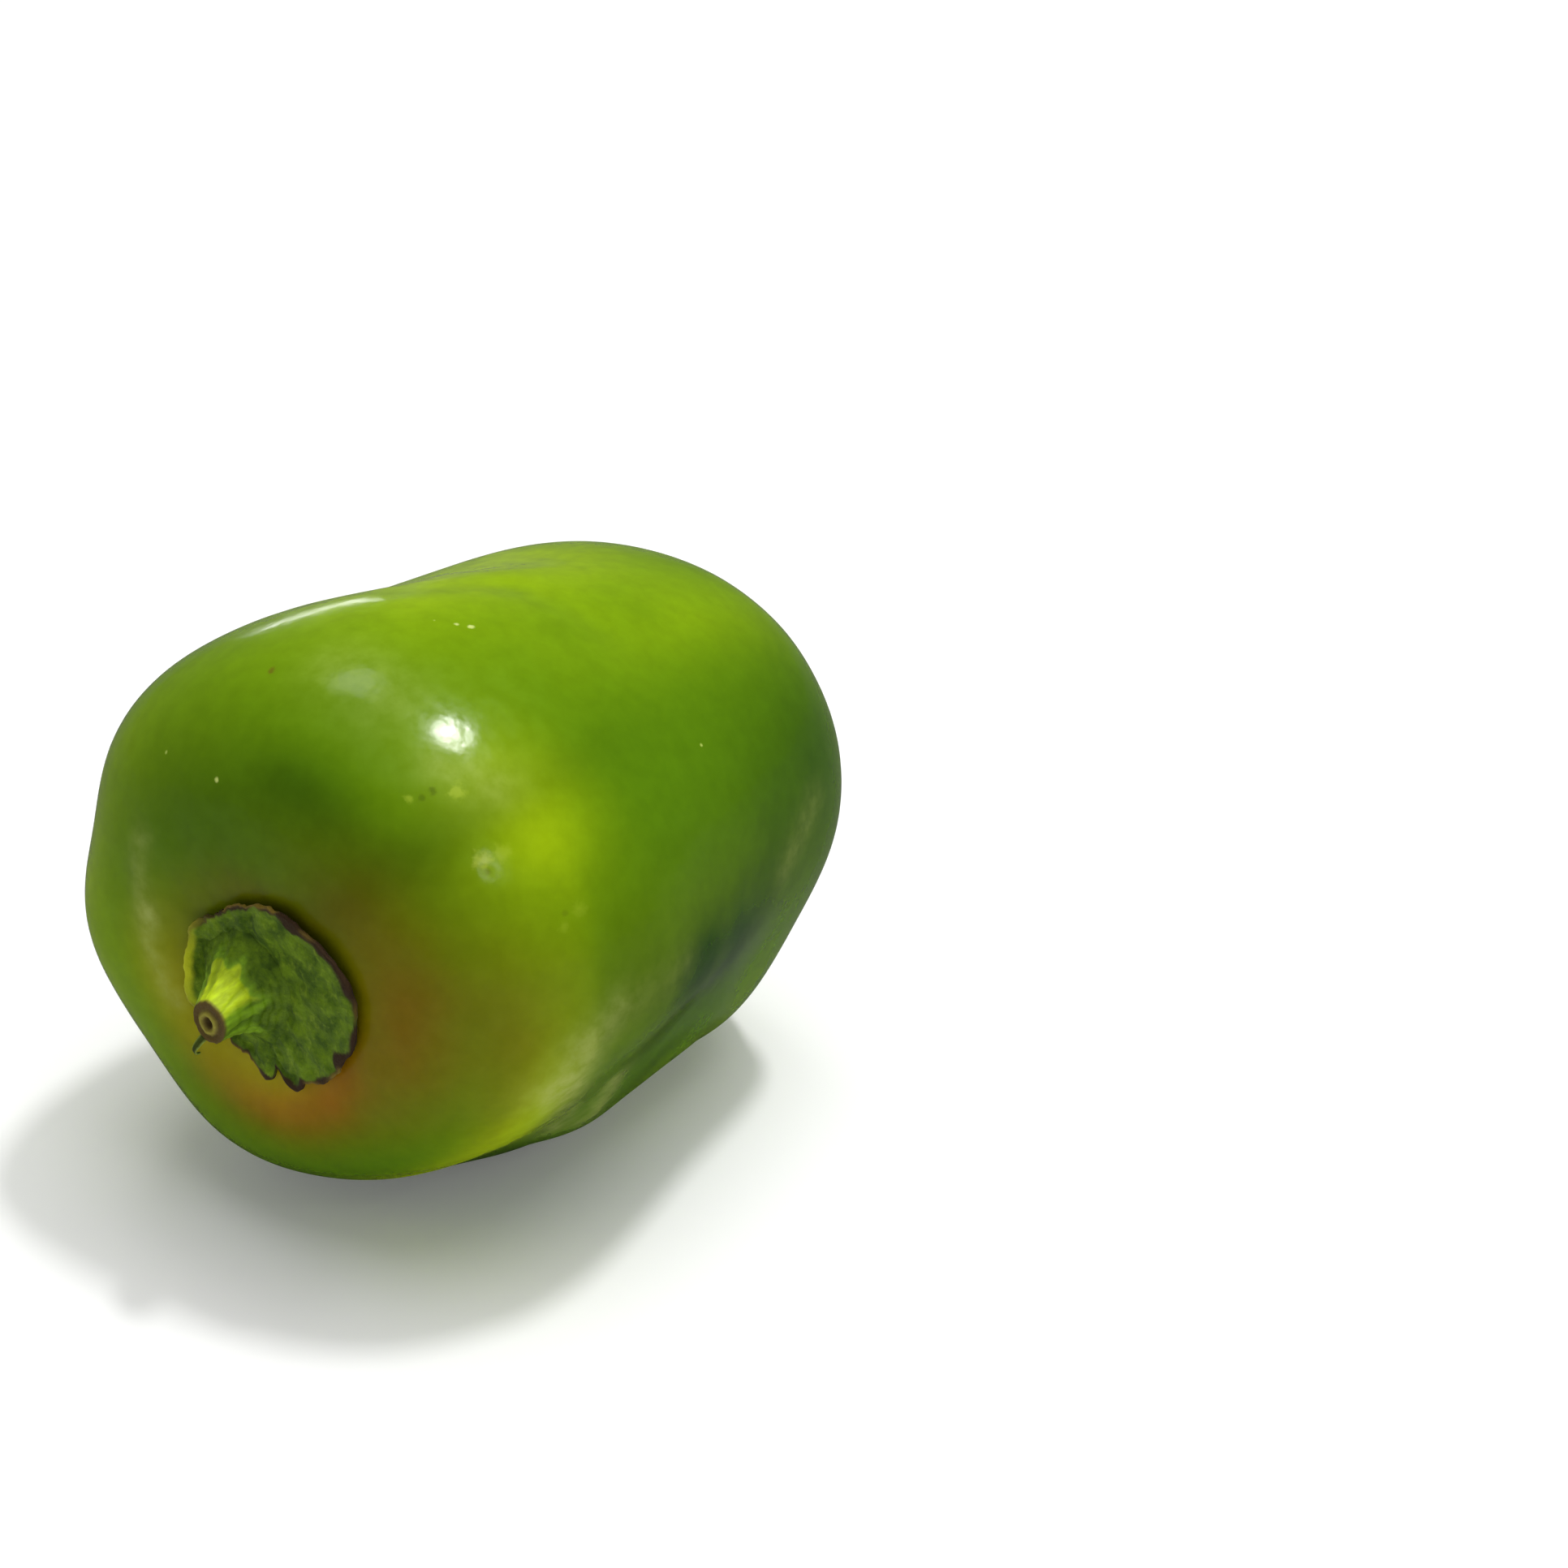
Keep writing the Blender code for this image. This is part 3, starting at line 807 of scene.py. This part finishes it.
def buildSliver():
    # a flat oval section drawn along a hook that hangs from the cut's edge
    shape = bmesh.new()
    bmesh.ops.create_circle(shape, cap_ends=True, segments=14, radius=1)
    edge = shape.verts.layers.float.new("edge")
    turn = math.radians(sliver["turn"])
    out = Vector((math.sin(turn), math.cos(turn), 0))
    side = Vector((math.cos(turn), -math.sin(turn), 0))
    ahead = Vector((0, 0, 1))
    stalkTop, stalkRadius = stem["profile"][-1]
    top = seatHeight + calyx["gap"] + stalkTop
    spot = stemAxis(stalkTop) + out * (stalkRadius - 0.45) + ahead * (top - 0.5)
    rim, ring = shape.edges[:], shape.verts[:]
    section = [vert.co.copy() for vert in ring]
    step = sliver["length"] / sliver["steps"]
    for count in range(sliver["steps"] + 1):
        share = count / sliver["steps"]
        bend = math.radians(fromTable(sliver["hook"], share))
        along = ahead * math.cos(bend) + out * math.sin(bend)
        normal = out * math.cos(bend) - ahead * math.sin(bend)
        width = sliver["width"] * (1 - 0.75 * share**1.5) * ease(-0.3, 0.1, share)
        if count:
            grown = bmesh.ops.extrude_edge_only(shape, edges=rim)["geom"]
            rim = [item for item in grown if isinstance(item, bmesh.types.BMEdge) and item.is_boundary]
            newRing = [item for item in grown if isinstance(item, bmesh.types.BMVert)]
            order = {}
            for vert in newRing:
                near = [line.other_vert(vert) for line in vert.link_edges]
                old = next(other for other in near if other in ring)
                order[ring.index(old)] = vert
            ring = [order[index] for index in range(len(order))]
        for vert, corner in zip(ring, section):
            vert.co = spot + side * corner.x * width / 2 + normal * corner.y * sliver["thickness"] / 2
            vert[edge] = ease(0.55, 0.95, abs(corner.x))
        spot = spot + along * step
    bmesh.ops.holes_fill(shape, edges=rim)
    return finishPiece("stemSliver", shape, sliverCoat(), None)


studio = {
    "floorSize": 8.0,
    "floorColour": "#f4f4f4",
    "floorShine": "#626262",    # what the glossy skin sees of the floor, so that it isn't milky
    "floorGlow": (0.12, 0.68),  # lifts the floor for the camera only, near and far
    "glowReach": (0.3, 1.7),    # where it starts to rise, and where it is full, m
    "skyColour": "#ffffff",
    "skySeen": 0.95,            # how bright it is for the camera,
    "skyLight": 0.30,           # as light on matte things
    "skyShine": 0.09,           # and in the gloss
    # azimuth, elevation, distance, width and height in m, power in W, seen in reflections
    "lamps": {
        "overheadScrim": (110, 80, 1.6, 1.7, 1.7, 15.5, False),
        "keySoftbox": (145, 73, 1.5, 0.25, 0.12, 9.0, True),
        "leftPanel": (-117, 66, 1.5, 0.36, 0.36, 1.1, True),
        "rightPanel": (75, 38, 1.6, 0.14, 0.14, 0.45, True),
        "backPanel": (-128, 2, 1.8, 0.34, 0.12, 0.45, True),
    },
}


def aim(azimuth, elevation):
    azimuth, elevation = math.radians(azimuth), math.radians(elevation)
    return Vector((
        math.sin(azimuth) * math.cos(elevation),
        -math.cos(azimuth) * math.cos(elevation),
        math.sin(elevation)))


def buildStudio():
    shape = bmesh.new()
    bmesh.ops.create_grid(shape, x_segments=2, y_segments=2, size=studio["floorSize"] / 2)
    mesh = bpy.data.meshes.new("paleFloor")
    shape.to_mesh(mesh)
    shape.free()
    made, tree = newMaterial("matteWhiteBoard")
    path = addNode(tree, "LightPath", {}, {})
    coords = objectCoords(tree)
    board, shine = linear(studio["floorColour"]), linear(studio["floorShine"])
    colour = addMix(tree, path.outputs["Is Glossy Ray"], board, shine)
    far = addNode(tree, "VectorMath", {"operation": "LENGTH"}, {0: coords})
    (near, end), (faint, bright) = studio["glowReach"], studio["floorGlow"]
    glow = addNode(tree, "MapRange", {"interpolation_type": "SMOOTHSTEP"}, {
        "Value": far.outputs["Value"], "From Min": near, "From Max": end, "To Min": faint, "To Max": bright})
    glow = addNode(tree, "Math", {"operation": "MULTIPLY"}, {
        0: path.outputs["Is Camera Ray"], 1: glow.outputs["Result"]}).outputs[0]
    shader = addNode(tree, "BsdfPrincipled", {}, {
        "Base Color": colour, "Roughness": 0.9, "Specular IOR Level": 0.1,
        "Emission Color": board, "Emission Strength": glow})
    addNode(tree, "OutputMaterial", {}, {"Surface": shader.outputs["BSDF"]})
    mesh.materials.append(made)
    floor = bpy.data.objects.new("paleFloor", mesh)
    bpy.context.collection.objects.link(floor)
    world = bpy.data.worlds.new("paleRoom")
    bpy.context.scene.world = world
    world.use_nodes = True
    tree = world.node_tree
    tree.nodes.clear()
    path = addNode(tree, "LightPath", {}, {})
    shine = addNode(tree, "Mix", {"data_type": "FLOAT"}, {
        0: path.outputs["Is Glossy Ray"], 2: studio["skyLight"], 3: studio["skyShine"]})
    strength = addNode(tree, "Mix", {"data_type": "FLOAT"}, {
        0: path.outputs["Is Camera Ray"], 2: shine.outputs[0], 3: studio["skySeen"]})
    sky = addNode(tree, "Background", {}, {
        "Color": linear(studio["skyColour"]), "Strength": strength.outputs[0]})
    addNode(tree, "OutputWorld", {}, {"Surface": sky.outputs["Background"]})
    middle = (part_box("pod")[0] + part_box("pod")[1]) / 2
    for name, (azimuth, elevation, distance, width, height, power, shines) in studio["lamps"].items():
        lamp = bpy.data.lights.new(name, "AREA")
        lamp.shape = "ELLIPSE"
        lamp.size = width
        lamp.size_y = height
        lamp.energy = power
        holder = bpy.data.objects.new(name, lamp)
        holder.visible_glossy = shines
        holder.location = middle + aim(azimuth, elevation) * distance
        holder.rotation_euler = (-aim(azimuth, elevation)).to_track_quat("-Z", "Y").to_euler()
        bpy.context.collection.objects.link(holder)


view = {
    "azimuth": 38,
    "elevation": 28,
    "distance": 0.450,
    "across": 24,                            # degrees of lens
    "middle": (25.54, 28.68, 43.71),         # what it looks at, mm from the middle of the footprint
}


def buildCamera():
    lens = bpy.data.cameras.new("studioCamera")
    lens.angle = math.radians(view["across"])
    camera = bpy.data.objects.new("studioCamera", lens)
    target = Vector(view["middle"]) * mm
    away = aim(view["azimuth"], view["elevation"])
    camera.location = target + away * view["distance"]
    camera.rotation_euler = (-away).to_track_quat("-Z", "Y").to_euler()
    bpy.context.collection.objects.link(camera)
    bpy.context.scene.camera = camera
    bpy.context.scene.view_settings.view_transform = "Standard"


buildCamera()
buildStudio()
buildPod()
buildCalyx()
buildStem()
buildSliver()
print("pieces done")
